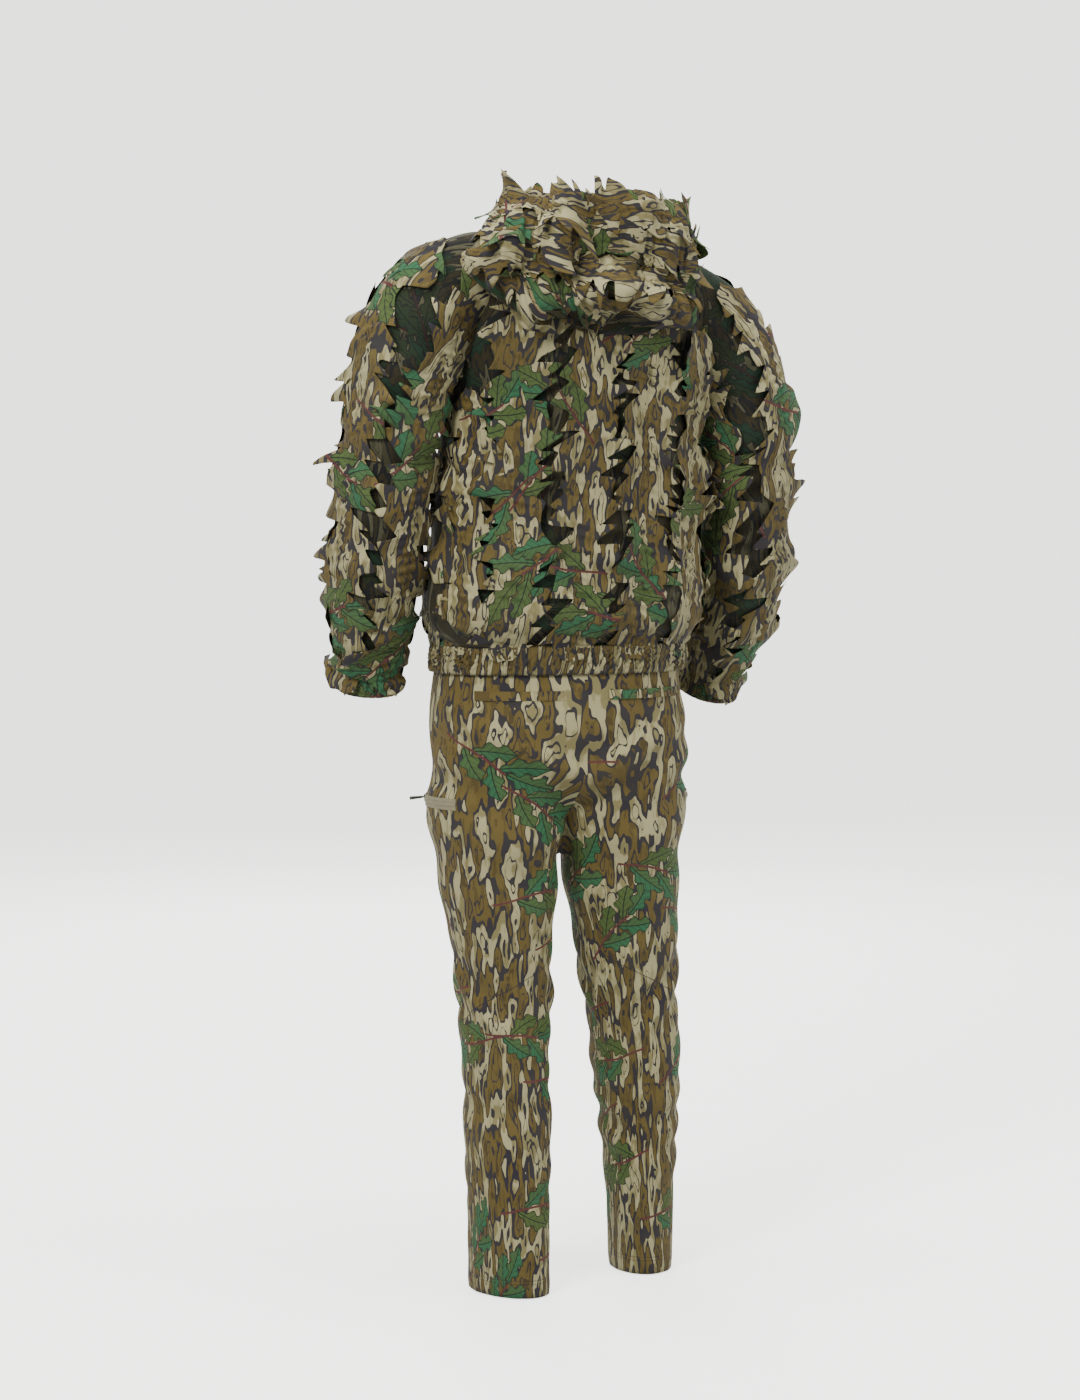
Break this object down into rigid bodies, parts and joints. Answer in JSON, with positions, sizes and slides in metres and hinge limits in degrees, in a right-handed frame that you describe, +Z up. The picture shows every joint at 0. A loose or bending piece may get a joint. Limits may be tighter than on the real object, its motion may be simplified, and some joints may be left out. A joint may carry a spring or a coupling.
{
  "type": "ghillie suit",
  "caption": "Leafy camouflage ghillie suit: zipped jacket with saw-cut cloth strips, lowered hood, elastic hem and cuffs, over plain matching trousers with thigh pockets.",
  "frame": {"origin": "level of the trouser leg hems, under the middle of the hips, where the wearer's stance carries the suit", "axes": "+Z up, the suit's front faces -Y, the wearer's left is +X"},
  "size_m": [0.6779, 0.3415, 1.555],
  "materials": {
    "leaf_cloth": "printed leaf-camouflage cloth, matt",
    "mesh_cloth": "dark sheer printed mesh",
    "elastic_cloth": "gathered printed cloth over elastic",
    "twill": "printed bark-camouflage twill, matt",
    "zip_tape": "woven khaki tape",
    "zip_teeth": "dark moulded teeth",
    "dark_metal": "dark painted metal, satin",
    "cord": "braided olive cord"
  },
  "bodies": {
    "suit": {"back_leaf_strip_1": "leaf_cloth", "back_leaf_strip_2": "leaf_cloth", "back_leaf_strip_3": "leaf_cloth", "back_leaf_strip_4": "leaf_cloth", "back_leaf_strip_5": "leaf_cloth", "back_pocket_left": "twill", "back_pocket_right": "twill", "cuff_left": "elastic_cloth", "cuff_right": "elastic_cloth", "fly_placket_left": "twill", "fly_placket_right": "twill", "fly_zip_chain": "zip_teeth", "front_leaf_strip_1": "leaf_cloth", "front_leaf_strip_2": "leaf_cloth", "front_leaf_strip_3": "leaf_cloth", "front_leaf_strip_4": "leaf_cloth", "hem_band": "elastic_cloth", "jacket_back": "mesh_cloth", "jacket_front_left": "mesh_cloth", "jacket_front_right": "mesh_cloth", "neck_band": "elastic_cloth", "pocket_zip_left": "zip_tape", "pocket_zip_right": "zip_tape", "sleeve_left": "mesh_cloth", "sleeve_left_leaf_strip_1": "leaf_cloth", "sleeve_left_leaf_strip_2": "leaf_cloth", "sleeve_left_leaf_strip_3": "leaf_cloth", "sleeve_left_leaf_strip_4": "leaf_cloth", "sleeve_right": "mesh_cloth", "sleeve_right_leaf_strip_1": "leaf_cloth", "sleeve_right_leaf_strip_2": "leaf_cloth", "sleeve_right_leaf_strip_3": "leaf_cloth", "sleeve_right_leaf_strip_4": "leaf_cloth", "trouser_leg_left": "twill", "trouser_leg_right": "twill", "trouser_waistband": "twill", "waist_button": "dark_metal", "zip_box": "zip_teeth", "zip_chain_left": "zip_teeth", "zip_chain_right": "zip_teeth", "zip_tape_left": "zip_tape", "zip_tape_right": "zip_tape"},
    "hood": {"hood_shell": "mesh_cloth", "hood_brim": "elastic_cloth", "hood_leaf_strip_1": "leaf_cloth", "hood_leaf_strip_2": "leaf_cloth", "hood_leaf_strip_3": "leaf_cloth"},
    "jacket_slider": {"zip_slider": "dark_metal"},
    "jacket_pull": {"zip_pull": "dark_metal"},
    "fly_slider": {"fly_slider": "dark_metal"},
    "fly_pull": {"fly_pull": "dark_metal"},
    "left_pocket_slider": {"pocket_slider_left": "dark_metal"},
    "left_pocket_pull": {"pocket_pull_left": "cord"},
    "right_pocket_slider": {"pocket_slider_right": "dark_metal"},
    "right_pocket_pull": {"pocket_pull_right": "cord"}
  },
  "joints": [
    {"name": "hood_fold", "type": "hinge", "parent": "suit", "child": "hood", "pos_m": [0, 0.08, 1.538], "axis": [1, 0, 0], "range_deg": [0, 120]},
    {"name": "jacket_zip", "type": "slide", "parent": "suit", "child": "jacket_slider", "axis": [-0.0538, 0.0598, 0.9968], "range_m": [-0.585, 0]},
    {"name": "jacket_pull_swing", "type": "hinge", "parent": "jacket_slider", "child": "jacket_pull", "pos_m": [-0.03424, -0.09016, 1.51915], "axis": [-0.9985, 0, -0.0539], "range_deg": [0, 170]},
    {"name": "fly_zip", "type": "slide", "parent": "suit", "child": "fly_slider", "axis": [0, 0, 1], "range_m": [-0.08, 0]},
    {"name": "fly_pull_swing", "type": "hinge", "parent": "fly_slider", "child": "fly_pull", "pos_m": [0, -0.1266, 0.8695], "axis": [-1, 0, 0], "range_deg": [0, 90]},
    {"name": "left_pocket_zip", "type": "hinge", "parent": "suit", "child": "left_pocket_slider", "pos_m": [0.094, 0, 0.702], "axis": [0, 0, 1], "range_deg": [0, 67]},
    {"name": "left_pocket_pull_swing", "type": "hinge", "parent": "left_pocket_slider", "child": "left_pocket_pull", "pos_m": [0.17745, -0.0652, 0.702], "axis": [0, 0, 1], "range_deg": [-50, 10]},
    {"name": "right_pocket_zip", "type": "hinge", "parent": "suit", "child": "right_pocket_slider", "pos_m": [-0.094, 0, 0.702], "axis": [0, 0, -1], "range_deg": [0, 67]},
    {"name": "right_pocket_pull_swing", "type": "hinge", "parent": "right_pocket_slider", "child": "right_pocket_pull", "pos_m": [-0.17745, -0.0652, 0.702], "axis": [0, 0, -1], "range_deg": [-50, 10]}
  ]
}
